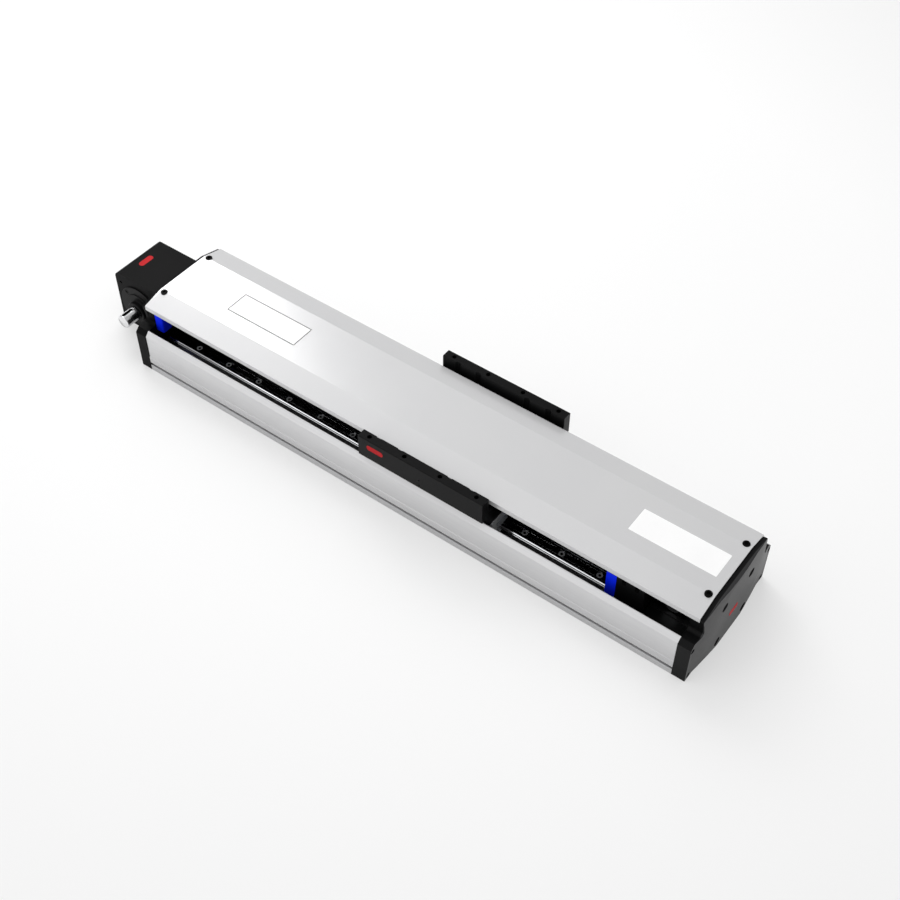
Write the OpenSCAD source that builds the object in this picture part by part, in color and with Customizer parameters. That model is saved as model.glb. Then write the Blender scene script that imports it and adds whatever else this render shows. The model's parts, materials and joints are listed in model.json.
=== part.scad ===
// Belt driven linear axis: a low wide base extrusion that carries two guide rails,
// a toothed belt between a drive housing and a tension bracket, and a table whose
// two bars pass out under the edges of a folded top cover.
// Millimetres. X runs along the axis from drive to idler, Z is up.
// The origin is the middle of the base's underside.

/* [Base extrusion] */
// Length of the base extrusion
base_l = 928; // [500:4:2000]
// Overall width of the base extrusion
base_w = 210; // [190:1:240]
// Height of the side walls
wall_h = 75; // [60:1:90]
// Width of the chamfer on each wall's top edge
wall_chamfer_y = 6.4; // [2:0.1:8]
// Height of the chamfer on each wall's top edge
wall_chamfer_z = 7; // [2:0.1:10]
// Thickness of a side wall
wall_t = 8.5; // [6:0.5:12]
// Height of the strip between the rails under the belt
floor_t = 14; // [10:0.5:15]
// Height of the rail seats
seat_z = 32; // [26:0.5:36]
// Mouth of the slot in each side face
side_slot_mouth = 5; // [4:0.1:8]
// Lower edge of that slot's mouth
side_slot_z = 10.3; // [8:0.1:16]
// Mouth of the clamping slots in the underside
foot_slot_mouth = 8.2; // [6:0.1:12]
// Distance of the clamping slots from the middle
foot_slot_y = 52; // [40:1:60]

/* [Underside holes] */
// Distance of a row of tapped holes from the side face
foot_hole_in = 16; // [14:0.5:24]
// Distance between tapped holes along a row
foot_hole_pitch_x = 200; // [100:10:300]
// Radius of a tapped hole, cut for M8
foot_hole_r = 3.4; // [2.5:0.1:5]
// Depth of a tapped hole
foot_hole_depth = 14; // [8:0.5:16]

/* [Guide rails and blocks] */
// Distance of each rail from the middle
rail_y = 60; // [50:1:70]
// Width of the rail
rail_w = 20; // [15:1:25]
// Height of the rail
rail_h = 17.5; // [14:0.5:20]
// Distance from the base's drive end to the rail
rail_in = 6.5; // [2:0.5:20]
// Distance from the rail to the base's idler end
rail_out = 91.5; // [70:0.5:120]
// Distance between rail screws
rail_pitch = 60; // [60:1:80]
// Distance from the rail's drive end to its first screw
rail_first = 60; // [20:1:60]
// Width of a guide block
block_w = 44; // [34:1:48]
// Height of the block's top above the rail seat
block_h = 30; // [24:1:36]
// Length of the block with its end caps
block_l = 92; // [60:0.5:100]
// Length of one end cap
block_cap_l = 11; // [6:0.5:14]
// Distance between the two blocks on one rail
block_pitch = 120; // [100:1:200]

/* [Table] */
// Position of the table along the axis
table_x = 57.5; // [-300:0.5:220]
// Length of the table and its bars
table_l = 210; // [150:1:300]
// Gap between the table plate and each side wall
plate_gap = 2.5; // [1:0.5:10]
// Thickness of the table plate
plate_t = 20.5; // [12:0.5:24]
// Width of a bar's top face
bar_w = 15; // [10:0.5:20]
// Height of the bars' top face
bar_top_z = 120.5; // [118:0.5:140]
// Distance of the bar's tapped holes from its outer face
load_hole_in = 7.5; // [5:0.5:10]
// Distance between tapped holes in a bar
load_hole_pitch = 60; // [40:1:80]
// Radius of a bar's tapped hole, cut for M8
load_hole_r = 3.4; // [2.5:0.1:5]

/* [Belt drive] */
// Distance between belt teeth
belt_pitch = 8; // [5:1:8]
// Teeth on each pulley
pulley_teeth = 20; // [20:1:20]
// Width of the belt
belt_w = 50; // [30:5:50]
// Height of the pulley axes
axis_z = 45; // [44:0.5:46]
// Distance from the base's drive end to the drive axis
drive_out = 72; // [68:1:80]
// Least distance from the idler axis to the base's idler end
idler_in = 40; // [36:1:60]
// Radius of the drive shaft's free end
shaft_r = 11; // [8:0.5:12]
// How far the free end stands out of the bearing cover
shaft_out = 28; // [20:1:40]
// Angle of the shaft's keyway from upright
key_angle = -40; // [-180:5:180]

/* [Drive housing] */
// Width of the housing
housing_w = 94; // [90:1:110]
// Height of the housing
housing_h = 98.5; // [90:0.5:110]
// Distance from the shaft axis to the housing's rear face
housing_rear = 46.5; // [40:0.5:60]
// Rounding of the housing's top rear edge
housing_round = 10; // [2:0.5:15]
// Distance between the motor screws on the housing's side
motor_pitch = 72; // [60:1:80]
// Radius of a motor screw hole, cut for M6
motor_hole_r = 2.5; // [2:0.1:4]
// Radius of the bearing cover
cover_ring_r = 40; // [35:0.5:45]

/* [End caps and top cover] */
// Thickness of an end cap
cap_t = 20; // [14:1:25]
// How far the round centre of the idler cap stands out
cap_dome = 5.7; // [0:0.1:8]
// Radius of the flat on that round centre
cap_dome_r = 59; // [40:1:70]
// Overlap of the top cover on each end cap
cover_lap = 14; // [8:0.5:18]
// Width of the top cover
cover_w = 166; // [150:1:180]
// Height of the cover's top
cover_top_z = 117; // [110:0.5:125]
// Width of the cover's flat top
cover_flat_w = 95; // [60:1:120]
// Drop of the cover's slanted edges
cover_drop = 9; // [0:0.5:15]
// Height of the cover's side lips
cover_lip = 8; // [4:0.5:15]
// Sheet thickness of the cover
cover_t = 3; // [1.5:0.5:4]

/* [Bumpers] */
// Thickness of a drive side bumper
bumper_t = 14.5; // [8:0.5:20]
// Thickness of an idler side bumper
idler_bumper_t = 16; // [8:0.5:20]
// Width of a bumper
bumper_w = 18; // [10:0.5:20]
// Height of the drive bumpers' lower face
bumper_z = 66; // [63:0.5:70]

/* [Hidden] */
// Fits between pieces
moving_gap = 0.4;
running_gap = 0.05;
bolt_gap = 0.4;

// Base and caps
half_l = base_l / 2;
half_w = base_w / 2;
waist_y = half_w - 0.8;
waist_z = 28;
trough_y = half_w - wall_t;
foot_hole_y = half_w - foot_hole_in;
pad_in = 44;
pad_out = 80;
strip_y = 30;
strip_z = 20;
port_floor = [34.5, 12.5];
port_wall = [half_w - 4.8, wall_h - 12.5];
port_foot = [half_w - 7.7, 6.3];
tension_z = 88;
dome_z = 50;

// Screw sizes: shank radius, head radius, head height
m4 = [2, 3.5, 4];
m5 = [2.5, 4.25, 5];
m6 = [3, 5, 6];
m8 = [4, 6.5, 8];

// Rails, blocks and table
rail_x0 = -half_l + rail_in;
rail_l = base_l - rail_in - rail_out;
rail_screws = floor((rail_l - rail_first - 12) / rail_pitch) + 1;
rail_head_depth = 5.5;
rail_seat_depth = 13;
block_z = seat_z + block_h;
block_foot = 4.6;
plate_z = block_z;
plate_top = plate_z + plate_t;
plate_w = 2 * (trough_y - plate_gap);
load_hole_y = half_w - load_hole_in;
bar_y0 = half_w - bar_w;
bar_foot_z = plate_top + 11.5;
bar_foot_y = 79.5;
bar_screw_y = 87;
bar_screw_x = [-78, -42, 42, 78];
notch_r = 5.6;
block_bolt_x = 25;
block_bolt_y = 16;

// Belt and pulleys
drive_x = -half_l - drive_out;
span_pitches = floor((base_l + drive_out - idler_in) / belt_pitch);
pitch_r = belt_pitch * pulley_teeth / (2 * PI);
land_r = pitch_r - 0.686;
tooth_h = 3.38;
back_r = land_r + 2.62;
pulley_r = land_r - 0.3;
span = belt_pitch * span_pitches;
idler_x = drive_x + span;
half_turn = belt_pitch * pulley_teeth / 2;
belt_teeth = 2 * span_pitches + pulley_teeth;
flange_r = 29;
flange_t = 2.4;
flange_in = belt_w / 2 + 0.8;
flange_out = flange_in + flange_t;
clamp_w = 67;
clamp_z = 58;
clamp_screw_y = 29;
channel_z = axis_z + back_r + 0.3;

// Drive parts
housing_x1 = -half_l - cap_t;
housing_x0 = drive_x - housing_rear;
cavity_r = 32;
cavity_h = 62;
cavity_y = flange_out + 1;
bearing_y = cavity_y + 1.8;
bearing_w = housing_w / 2 - bearing_y - 1;
bearing_r = 26;
seat_r = 12.5;
body_r = 15;
ring_t = 2;
boss_out = 11;
boss_y = housing_w / 2 + boss_out;
boss_lip = 3.4;
housing_screw_y = 22;
housing_screw_z = [6.3, 83];
ring_screw_r = 34;
ring_head_z = 0.6;

// Idler bracket
bracket_x1 = idler_x - 26;
bracket_x0 = bracket_x1 - 41.5;
bracket_y = 80;
bracket_z = seat_z + rail_h + 1;
bracket_top = 104;
arm_x1 = idler_x + 16;
arm_y = 43.5;
arm_top = 100;
window_z = 80;
idler_shaft_r = 10;
idler_seat_r = 18.5;
bracket_screw_y = 75.5;
bracket_screw_x = [bracket_x0 + 11, bracket_x1 - 11];
bracket_head_z = bracket_top - 18;
bracket_screw_l = bracket_head_z - seat_z + 11;

// Cover screws
cover_screw_x = half_l + 5;
cover_screw_y = 49;

// ---- helpers ----

// A profile drawn as (y, z), swept along +X from x0.
module sweep_x(x0, length) {
    translate([x0, 0, 0])
        rotate([90, 0, 90])
            linear_extrude(length)
                children();
}

// A profile drawn as (x, z), swept along Y and centred on y = 0.
module sweep_y(length) {
    rotate([90, 0, 0])
        linear_extrude(length, center = true)
            children();
}

// A round bar from a point along +X, +Y or +Z.
module rod_x(at, length, r) {
    translate(at)
        rotate([0, 90, 0])
            cylinder(h = length, r = r, $fn = 48);
}

module rod_y(at, length, r) {
    translate(at)
        rotate([-90, 0, 0])
            cylinder(h = length, r = r, $fn = 64);
}

module rod_z(at, length, r) {
    translate(at)
        cylinder(h = length, r = r, $fn = 48);
}

// Both halves of something drawn on the +Y side.
module both_sides() {
    children();
    mirror([0, 1, 0])
        children();
}

// A profile given by its +y half, closed across the middle.
module mirrored_profile(half) {
    n = len(half);
    polygon(concat(half, [for (i = [n - 1:-1:0]) [-half[i][0], half[i][1]]]));
}

// Points of an arc about c.
function arc(c, r, a0, a1, n) =
    [for (i = [0:n]) c + r * [cos(a0 + (a1 - a0) * i / n), sin(a0 + (a1 - a0) * i / n)]];

// A socket head screw whose head's under face is at the origin and whose shank runs to -Z.
module screw(size, length) {
    difference() {
        union() {
            cylinder(h = size[2], r = size[1], $fn = 32);
            translate([0, 0, -length])
                cylinder(h = length + 0.01, r = size[0], $fn = 24);
        }
        translate([0, 0, size[2] * 0.45])
            cylinder(h = size[2], r = size[0] * 0.95, $fn = 6);
    }
}

// ---- base and caps ----

base_half = concat(
    [[half_w, 0], [half_w, waist_z - 1], [waist_y, waist_z], [waist_y, wall_h - wall_chamfer_z]],
    [[waist_y - wall_chamfer_y, wall_h], [trough_y, wall_h]],
    arc([trough_y - 4, 28], 4, 0, -90, 4),
    [[pad_out + 2, 24], [pad_out, 26], [pad_out, seat_z], [rail_y - rail_w / 2, seat_z]],
    [[rail_y - rail_w / 2 - 0.6, seat_z + 1.5], [pad_in, seat_z + 1.5], [pad_in, strip_z]],
    [[strip_y, strip_z], [strip_y, floor_t]]);

module slot_profile(mouth, cavity_w, cavity_h, lip) {
    translate([-mouth / 2, -0.5])
        square([mouth, lip + 1]);
    translate([-cavity_w / 2, lip])
        square([cavity_w, cavity_h]);
}

module base_profile_cuts() {
    translate([foot_slot_y, 0])
        slot_profile(foot_slot_mouth, 14, 5.5, 3.5);
    translate([half_w, side_slot_z + side_slot_mouth / 2])
        rotate(90)
            slot_profile(side_slot_mouth, 8.4, 4.2, 1.8);
    polygon([[62, 6], [64, 5], [80, 5], [82, 7], [82, 16], [78, 20], [66, 20], [62, 16]]);
    translate([half_w, 0])
        polygon([[-19, 19], [-11, 19], [-12, 22.5], [-17, 20.5]]);
    translate(port_floor)
        circle(r = m8[0], $fn = 32);
    translate(port_wall)
        circle(r = m4[0], $fn = 24);
    translate(port_foot)
        circle(r = m4[0], $fn = 24);
}

module base_extrusion() {
    color("silver")
        difference() {
            sweep_x(-half_l, base_l)
                difference() {
                    mirrored_profile(base_half);
                    base_profile_cuts();
                    mirror([1, 0])
                        base_profile_cuts();
                }
            for (i = [-2:2], s = [-1, 1])
                rod_z([i * foot_hole_pitch_x, s * foot_hole_y, -1],
                    foot_hole_depth + 1, foot_hole_r);
            for (i = [0:rail_screws - 1], s = [-1, 1])
                rod_z([rail_x0 + rail_first + i * rail_pitch, s * rail_y, seat_z - rail_seat_depth],
                    rail_seat_depth + 1, m5[0]);
            for (x = bracket_screw_x, s = [-1, 1])
                rod_z([x, s * bracket_screw_y, seat_z - 12.5], 14, m6[0]);
        }
}

// The end cap's outline where the cover's lips hang beside it.
neck_y = cover_w / 2 - cover_t - 0.3;
function roof_z(y) = cover_top_z - cover_t - max(0, (y - cover_flat_w / 2 + 0.4) * cover_drop
    / (cover_w / 2 - cover_flat_w / 2));

module cap_inner_profile() {
    mirrored_profile(concat(
        [[half_w, 0], [half_w, wall_h - wall_chamfer_z], [half_w - 7, wall_h]],
        arc([neck_y + 6.5, wall_h + 6.5], 6.5, -90, -180, 6),
        [[neck_y, roof_z(neck_y)], [cover_flat_w / 2 - 0.4, cover_top_z - cover_t]]));
}

module cap_outer_profile() {
    mirrored_profile(concat(
        [[half_w, 0], [half_w, wall_h - wall_chamfer_z], [half_w - 7, wall_h]],
        arc([neck_y + 6.5, wall_h + 6.5], 6.5, -90, -180, 6),
        [[cover_w / 2 - 1.5, 95], [cover_w / 2, 100], [cover_w / 2, roof_z(cover_w / 2)]],
        [[cover_flat_w / 2 - 0.4, cover_top_z - cover_t]]));
}

module cap_blank() {
    sweep_x(half_l, cover_lap + 0.3)
        cap_inner_profile();
    sweep_x(half_l + cover_lap + 0.3, cap_t - cover_lap - 0.3)
        cap_outer_profile();
}

// Counterbored holes for the screws that enter the extrusion's ports.
module cap_port_holes() {
    both_sides() {
        rod_x([half_l - 1, port_floor[0], port_floor[1]], 40, m8[0] + bolt_gap);
        rod_x([half_l + 11, port_floor[0], port_floor[1]], 40, 7);
        for (p = [port_wall, port_foot]) {
            rod_x([half_l - 1, p[0], p[1]], 40, m4[0] + bolt_gap / 2);
            rod_x([half_l + cap_t - 5, p[0], p[1]], 40, 4);
        }
    }
}

module cover_screw_holes(side) {
    for (s = [-1, 1])
        rod_z([side * cover_screw_x, s * cover_screw_y, 98], 30, m6[0]);
}

module drive_end_cap() {
    color("dimgray")
        difference() {
            mirror([1, 0, 0])
                difference() {
                    cap_blank();
                    cap_port_holes();
                }
            translate([-half_l - cap_t - 1, -cavity_y, axis_z - cavity_h / 2])
                cube([cap_t + 2, 2 * cavity_y, cavity_h]);
            for (s = [-1, 1], z = housing_screw_z)
                rod_x([-half_l - cap_t - 1, s * housing_screw_y, z], 16, m6[0]);
            cover_screw_holes(-1);
        }
}

module idler_end_cap() {
    color("dimgray")
        difference() {
            union() {
                cap_blank();
                intersection() {
                    sweep_x(half_l + cap_t - 2, cap_dome + 3)
                        cap_outer_profile();
                    translate([half_l + cap_t - 0.01, 0, dome_z])
                        rotate([0, 90, 0])
                            cylinder(h = cap_dome, r1 = 100, r2 = cap_dome_r, $fn = 160);
                }
            }
            cap_port_holes();
            both_sides() {
                rod_x([half_l - 1, port_floor[0], tension_z], 40, m8[0] + bolt_gap);
                rod_x([half_l + cap_t + cap_dome - 9.5, port_floor[0], tension_z], 40, 7);
            }
            cover_screw_holes(1);
        }
}

module drive_cap_screws() {
    color("black")
        both_sides() {
            translate([-half_l - 11, port_floor[0], port_floor[1]])
                rotate([0, -90, 0])
                    screw(m8, 30);
            for (p = [port_wall, port_foot])
                translate([-half_l - cap_t + 5, p[0], p[1]])
                    rotate([0, -90, 0])
                        screw(m4, 28);
        }
}

module idler_cap_screws() {
    color("black")
        both_sides() {
            translate([half_l + 11, port_floor[0], port_floor[1]])
                rotate([0, 90, 0])
                    screw(m8, 30);
            for (p = [port_wall, port_foot])
                translate([half_l + cap_t - 5, p[0], p[1]])
                    rotate([0, 90, 0])
                        screw(m4, 28);
        }
}

module tension_screws() {
    color("black")
        both_sides()
            translate([half_l + cap_t + cap_dome - 9.5, port_floor[0], tension_z])
                rotate([0, 90, 0])
                    screw(m8, 55);
}

// ---- top cover ----

module top_cover() {
    color("gainsboro")
        difference() {
            sweep_x(-half_l - cover_lap, base_l + 2 * cover_lap)
                difference() {
                    mirrored_profile([[cover_w / 2, cover_top_z - cover_drop - cover_lip],
                        [cover_w / 2, cover_top_z - cover_drop],
                        [cover_flat_w / 2, cover_top_z]]);
                    mirrored_profile([[cover_w / 2 - cover_t, cover_top_z - cover_drop - cover_lip - 1],
                        [cover_w / 2 - cover_t, roof_z(cover_w / 2 - cover_t)],
                        [cover_flat_w / 2 - 0.4, cover_top_z - cover_t]]);
                }
            for (i = [-1, 1], s = [-1, 1])
                rod_z([i * cover_screw_x, s * cover_screw_y, 105], 20, m6[1] + 0.4);
        }
}

module cover_screws() {
    color("black")
        for (i = [-1, 1], s = [-1, 1])
            translate([i * cover_screw_x, s * cover_screw_y, cover_top_z - cover_t])
                screw([m6[0], m6[1] + 0.25, 3.6], 14);
}

// ---- drive end ----

module housing_profile() {
    polygon(concat(
        [[housing_x0, 0], [housing_x1, 0], [housing_x1, housing_h]],
        arc([housing_x0 + housing_round, housing_h - housing_round], housing_round, 90, 180, 10)));
}

module drive_housing() {
    color("dimgray")
        difference() {
            sweep_y(housing_w)
                housing_profile();
            rod_y([drive_x, -cavity_y, axis_z], 2 * cavity_y, cavity_r);
            translate([drive_x, -cavity_y, axis_z - cavity_h / 2])
                cube([housing_x1 - drive_x + 1, 2 * cavity_y, cavity_h]);
            rod_y([drive_x, -housing_w / 2 - 1, axis_z], housing_w + 2, 22);
            both_sides()
                rod_y([drive_x, bearing_y, axis_z], bearing_w + 10, bearing_r);
            for (dx = [-1, 1], dz = [-1, 1])
                rod_y([drive_x + dx * motor_pitch / 2, -housing_w / 2 - 1, axis_z + dz * motor_pitch / 2],
                    15, motor_hole_r);
            for (a = [0:90:270], s = [-1, 1])
                rod_y([drive_x + ring_screw_r * cos(a + 45), s * (housing_w / 2 - 5) - 6,
                    axis_z + ring_screw_r * sin(a + 45)], 12, m4[0]);
            for (s = [-1, 1], z = housing_screw_z) {
                rod_x([housing_x0 - 1, s * housing_screw_y, z], 120, m6[0] + bolt_gap);
                rod_x([housing_x0 - 1, s * housing_screw_y, z], 8, m6[1] + 0.4);
            }
        }
}

module housing_screws() {
    color("black")
        for (s = [-1, 1], z = housing_screw_z)
            translate([housing_x0 + 7, s * housing_screw_y, z])
                rotate([0, -90, 0])
                    screw(m6, 100);
}

module ring_screw_holes() {
    for (a = [0:90:270])
        translate([ring_screw_r * cos(a + 45), ring_screw_r * sin(a + 45), -20]) {
            cylinder(h = 60, r = m4[0] + 0.2, $fn = 24);
            translate([0, 0, 20 + ring_head_z])
                cylinder(h = 40, r = m4[1] + 0.3, $fn = 32);
        }
}

// Turned covers, drawn about Z with the housing's face at z = 0.
module near_cover_turned() {
    difference() {
        rotate_extrude($fn = 96)
            polygon([[seat_r + moving_gap, -1], [bearing_r - 0.1, -1], [bearing_r - 0.1, 0],
                [cover_ring_r, 0], [cover_ring_r, ring_t - 0.6], [cover_ring_r - 0.6, ring_t],
                [28, ring_t], [27.4, ring_t + 1.4], [18.5, ring_t + 1.4], [17, ring_t + 2.9],
                [17, boss_out - 0.8], [16.2, boss_out], [shaft_r + moving_gap, boss_out],
                [shaft_r + moving_gap, boss_out - boss_lip], [seat_r + moving_gap, boss_out - boss_lip]]);
        ring_screw_holes();
    }
}

module far_cover_turned() {
    difference() {
        rotate_extrude($fn = 96)
            polygon([[0, 0], [bearing_r - 5, 0], [bearing_r - 5, -1], [bearing_r - 0.1, -1],
                [bearing_r - 0.1, 0], [cover_ring_r, 0], [cover_ring_r, ring_t - 0.6],
                [cover_ring_r - 0.6, ring_t], [24, ring_t], [23, ring_t - 0.8], [0, ring_t - 0.8]]);
        ring_screw_holes();
    }
}

module bearing_cover_near() {
    color("black")
        translate([drive_x, -housing_w / 2, axis_z])
            rotate([90, 0, 0])
                near_cover_turned();
}

module bearing_cover_far() {
    color("black")
        translate([drive_x, housing_w / 2, axis_z])
            rotate([-90, 0, 0])
                far_cover_turned();
}

module bearing_cover_screws() {
    color("black")
        for (a = [0:90:270], s = [-1, 1])
            translate([drive_x + ring_screw_r * cos(a + 45), s * (housing_w / 2 + ring_head_z),
                axis_z + ring_screw_r * sin(a + 45)])
                rotate([-s * 90, 0, 0])
                    screw([m4[0], m4[1], ring_t - ring_head_z], 8);
}

// A ball bearing's rings with a recessed shield on each face, about Z from z = 0.
module bearing(r_in, r_out, width) {
    wall = (r_out - r_in) * 0.24;
    rotate_extrude($fn = 96)
        polygon([[r_in, 0.5], [r_in + 0.5, 0], [r_in + wall, 0], [r_in + wall, 0.7],
            [r_out - wall, 0.7], [r_out - wall, 0], [r_out - 0.5, 0], [r_out, 0.5],
            [r_out, width - 0.5], [r_out - 0.5, width], [r_out - wall, width],
            [r_out - wall, width - 0.7], [r_in + wall, width - 0.7], [r_in + wall, width],
            [r_in + 0.5, width], [r_in, width - 0.5]]);
}

module drive_bearing_near() {
    color("lightgray")
        translate([drive_x, -bearing_y, axis_z])
            rotate([90, 0, 0])
                bearing(seat_r + running_gap, bearing_r, bearing_w);
}

module drive_bearing_far() {
    color("lightgray")
        translate([drive_x, bearing_y, axis_z])
            rotate([-90, 0, 0])
                bearing(seat_r + running_gap, bearing_r, bearing_w);
}

// Outline of a keyway with round ends, centred, long in y.
module keyway_outline(length, width) {
    polygon(concat(
        arc([0, (length - width) / 2], width / 2, 0, 180, 12),
        arc([0, -(length - width) / 2], width / 2, 180, 360, 12)));
}

module drive_shaft() {
    tip = boss_y + shaft_out;
    color("lightgray")
        translate([drive_x, 0, axis_z])
            difference() {
                rotate([90, 0, 0])
                    rotate_extrude($fn = 96)
                        polygon([[0, -bearing_y - bearing_w + 0.4],
                            [seat_r - 0.8, -bearing_y - bearing_w + 0.4],
                            [seat_r, -bearing_y - bearing_w + 1.2], [seat_r, -bearing_y + 0.3],
                            [body_r, -bearing_y + 0.3], [body_r, bearing_y - 0.3],
                            [seat_r, bearing_y - 0.3], [seat_r, boss_y - boss_lip - 0.5],
                            [shaft_r - 0.4, boss_y - boss_lip - 0.5], [shaft_r - 0.4, boss_y + 0.3],
                            [shaft_r, boss_y + 0.3], [shaft_r, tip - 1], [shaft_r - 1, tip], [0, tip]]);
                rotate([0, key_angle, 0]) {
                    translate([0, -tip + 13, shaft_r - 3.5])
                        linear_extrude(10)
                            keyway_outline(20, 6);
                    translate([-4, -20, body_r - 4])
                        cube([8, 40, 10]);
                }
            }
}

module pulley_key() {
    color("gray")
        translate([drive_x, 0, axis_z])
            rotate([0, key_angle, 0])
                translate([-4, -20, body_r - 4])
                    cube([8, 40, 7]);
}

// ---- toothed belt and pulleys ----

// Half of a belt tooth as [distance from the tooth's middle, depth].
tooth = [[2.6, 0], [2.3, 1.9], [1.2, tooth_h]];
function deg(s) = s / pitch_r * 180 / PI;

// A point on the belt's loop at distance s, a depth d inside the land surface.
function loop_point(s, d) =
    s < span ? [drive_x + s, land_r - d]
    : s < span + half_turn ? [idler_x, 0] + (land_r - d) * [sin(deg(s - span)), cos(deg(s - span))]
    : s < 2 * span + half_turn ? [idler_x - (s - span - half_turn), -land_r + d]
    : [drive_x, 0] - (land_r - d) * [sin(deg(s - 2 * span - half_turn)), cos(deg(s - 2 * span - half_turn))];

function wrap(s) = s < 0 ? s + belt_teeth * belt_pitch : s;

module belt_profile() {
    inner = [for (k = [0:belt_teeth - 1], j = [-3, -2, -1, 1, 2, 3])
        loop_point(wrap(k * belt_pitch + sign(j) * tooth[3 - abs(j)][0]), tooth[3 - abs(j)][1])];
    outer = concat(arc([idler_x, 0], back_r, 90, -90, 24), arc([drive_x, 0], back_r, -90, -270, 24));
    difference() {
        polygon(outer);
        polygon(inner);
    }
}

module timing_belt() {
    color("black")
        translate([0, 0, axis_z])
            sweep_y(belt_w)
                belt_profile();
}

// The pulley's outline, with grooves that clear the belt's teeth.
module pulley_outline() {
    slack = 0.35;
    polygon([for (k = [0:pulley_teeth - 1], j = [-3, -2, -1, 1, 2, 3])
        let (a = k * 360 / pulley_teeth + deg(sign(j) * (tooth[3 - abs(j)][0] + slack)),
            r = abs(j) == 3 ? pulley_r : land_r - tooth[3 - abs(j)][1] - (abs(j) == 1 ? 0.3 : 0))
            r * [sin(a), cos(a)]]);
}

module pulley(bore_r) {
    difference() {
        union() {
            sweep_y(2 * flange_out)
                pulley_outline();
            both_sides()
                rod_y([0, flange_in, 0], flange_t, flange_r);
        }
        rod_y([0, -flange_out - 1, 0], 2 * flange_out + 2, bore_r);
    }
}

module drive_pulley() {
    color("darkgray")
        translate([drive_x, 0, axis_z])
            difference() {
                pulley(body_r);
                rotate([0, key_angle, 0])
                    translate([-4, -flange_out - 1, 0])
                        cube([8, 2 * flange_out + 2, body_r + 3.3]);
            }
}

module idler_pulley() {
    color("darkgray")
        translate([idler_x, 0, axis_z])
            pulley(idler_seat_r);
}

module idler_bearings() {
    color("lightgray")
        translate([idler_x, 0, axis_z])
            for (y = [-flange_out, flange_out - 9])
                translate([0, y, 0])
                    rotate([-90, 0, 0])
                        bearing(idler_shaft_r + running_gap, idler_seat_r, 9);
}

// ---- idler bracket ----

module idler_shaft() {
    color("lightgray")
        rod_y([idler_x, -arm_y, axis_z], 2 * arm_y, idler_shaft_r);
}

module bracket_cross_profile() {
    mirrored_profile([[bracket_y, bracket_z], [bracket_y, 96], [bracket_y - 8, bracket_top]]);
}

module idler_bracket() {
    color("dimgray")
        difference() {
            union() {
                sweep_x(bracket_x0, bracket_x1 - bracket_x0)
                    bracket_cross_profile();
                both_sides() {
                    translate([bracket_x0, strip_y, strip_z])
                        cube([bracket_x1 - bracket_x0, arm_y - strip_y, arm_top - strip_z]);
                    sweep_y_arm();
                    translate([bracket_x0, bracket_y - 8.5, seat_z])
                        cube([bracket_x1 - bracket_x0, 8, bracket_z - seat_z + 1]);
                }
            }
            translate([bracket_x0 - 1, -strip_y, strip_z - 1])
                cube([arm_x1 - bracket_x0 + 2, 2 * strip_y, window_z - strip_z + 1]);
            translate([bracket_x1, -strip_y, strip_z - 1])
                cube([arm_x1 - bracket_x1 + 2, 2 * strip_y, 90]);
            rod_y([idler_x, -60, axis_z], 120, idler_shaft_r);
            both_sides() {
                rod_x([bracket_x1 + 6, port_floor[0], tension_z], 60, m8[0]);
                for (x = bracket_screw_x) {
                    rod_z([x, bracket_screw_y, seat_z - 1], 90, m6[0] + bolt_gap);
                    rod_z([x, bracket_screw_y, bracket_head_z], 30, m6[1] + 0.4);
                }
            }
        }
}

// One arm of the fork, with a sloping underside behind the shaft.
module sweep_y_arm() {
    translate([0, (strip_y + arm_y) / 2, 0])
        sweep_y(arm_y - strip_y)
            polygon([[bracket_x0 + 1, strip_z], [arm_x1 - 8, strip_z], [arm_x1, strip_z + 8],
                [arm_x1, arm_top - 4], [arm_x1 - 4, arm_top], [bracket_x0 + 1, arm_top]]);
}

module bracket_screws() {
    color("black")
        for (x = bracket_screw_x, s = [-1, 1])
            translate([x, s * bracket_screw_y, bracket_head_z])
                screw(m6, bracket_screw_l);
}

// ---- guides ----

module rail_profile() {
    mirrored_profile([[10, 0], [10, 5.5], [7.6, 7.5], [7.6, 11.5], [10, 13.2], [9.1, 13.95],
        [10, 14.7], [10, rail_h - 0.8], [8.6, rail_h]]);
}

module rail(side) {
    color("lightgray")
        difference() {
            sweep_x(rail_x0, rail_l)
                translate([side * rail_y, seat_z])
                    rail_profile();
            for (i = [0:rail_screws - 1])
                translate([rail_x0 + rail_first + i * rail_pitch, side * rail_y, seat_z]) {
                    rod_z([0, 0, -1], rail_h + 2, 3);
                    rod_z([0, 0, rail_h - rail_head_depth], 10, 4.75);
                }
        }
}

module rail_screws_row(side) {
    color("gray")
        for (i = [0:rail_screws - 1])
            translate([rail_x0 + rail_first + i * rail_pitch, side * rail_y,
                seat_z + rail_h - rail_head_depth])
                screw(m5, 20);
}

// The steel body of a block, or its end caps, centred on x.
module block_at(x, side) {
    color("lightgray")
        difference() {
            sweep_x(x - block_l / 2 + block_cap_l, block_l - 2 * block_cap_l)
                translate([side * rail_y, seat_z])
                    block_half_pair();
            for (dx = [-1, 1], dy = [-1, 1])
                rod_z([x + dx * block_bolt_x, side * rail_y + dy * block_bolt_y, block_z - 7], 8, m5[0]);
        }
}

module block_half_pair() {
    difference() {
        mirrored_profile([[13, block_foot], [15, block_foot], [16.5, 6.5], [16.5, 10.5],
            [block_w / 2, 15], [block_w / 2, block_h - 1], [block_w / 2 - 1, block_h]]);
        block_channel();
    }
}

// The opening a block leaves for the rail, with ridges that reach into its grooves.
module block_channel() {
    mirrored_profile([[10.4, 0], [10.4, 5.6], [8.1, 7.7], [8.1, 11.3], [10.4, 12.95],
        [10.4, rail_h + 0.5]]);
}

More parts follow.
